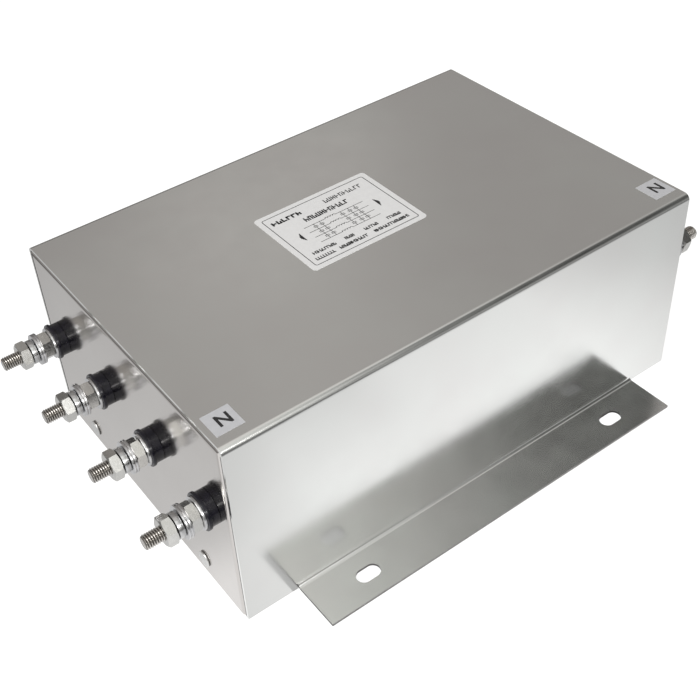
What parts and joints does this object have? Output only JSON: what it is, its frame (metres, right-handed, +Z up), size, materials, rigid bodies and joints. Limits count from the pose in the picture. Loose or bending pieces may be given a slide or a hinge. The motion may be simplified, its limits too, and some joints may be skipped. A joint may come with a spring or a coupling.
{
  "type": "emi line filter",
  "caption": "Power line filter in a folded sheet-metal box with slotted side feet and a row of insulated stud terminals at each end.",
  "frame": {"origin": "centre of the underside, at the middle of the overall box", "axes": "+X from the line end to the load end along the terminals, +Y across the case away from the neutral terminals, +Z up out of the label face"},
  "size_m": [0.3736, 0.2558, 0.1203],
  "materials": {
    "case_metal": "semi-gloss tinned sheet",
    "rivet_metal": "bright rivet heads",
    "bushing_black": "glossy moulded black",
    "stud_metal": "nickel-plated stud",
    "fastener_metal": "nickel-plated nuts",
    "washer_metal": "bright plated washers",
    "copper": "bare copper",
    "core_coating": "epoxy coating on the ring core",
    "fibre": "insulating fibre",
    "board": "glass-fibre board",
    "capacitor_case": "moulded capacitor boxes",
    "resistor_body": "lacquered resistors",
    "label_white": "printed white film"
  },
  "bodies": {
    "root": {"cover": "case_metal", "base_plate": "case_metal", "line_end_plate": "case_metal", "load_end_plate": "case_metal", "end_rivets": "rivet_metal", "line_bushings": "bushing_black", "load_bushings": "bushing_black", "line_inner_collars": "bushing_black", "load_inner_collars": "bushing_black", "terminal_studs": "stud_metal", "clamp_nuts": "fastener_metal", "terminal_nuts": "fastener_metal", "inside_nuts": "fastener_metal", "choke_clamp_stud": "fastener_metal", "choke_clamp_nut": "fastener_metal", "board_supports": "fastener_metal", "flat_washers": "washer_metal", "spring_washers": "washer_metal", "line_busbar_n": "copper", "line_busbar_l3": "copper", "line_busbar_l2": "copper", "line_busbar_l1": "copper", "load_busbar_n": "copper", "load_busbar_l3": "copper", "load_busbar_l2": "copper", "load_busbar_l1": "copper", "choke_winding_n": "copper", "choke_winding_l3": "copper", "choke_winding_l2": "copper", "choke_winding_l1": "copper", "line_leads": "copper", "load_leads": "copper", "choke_core": "core_coating", "choke_pad": "fibre", "choke_clamp_plate": "fibre", "line_capacitor_board": "board", "load_capacitor_board": "board", "line_x_capacitors": "capacitor_case", "load_x_capacitors": "capacitor_case", "line_y_capacitors": "capacitor_case", "load_y_capacitors": "capacitor_case", "discharge_resistors": "resistor_body", "rating_label": "label_white", "neutral_labels": "label_white"}
  },
  "joints": []
}
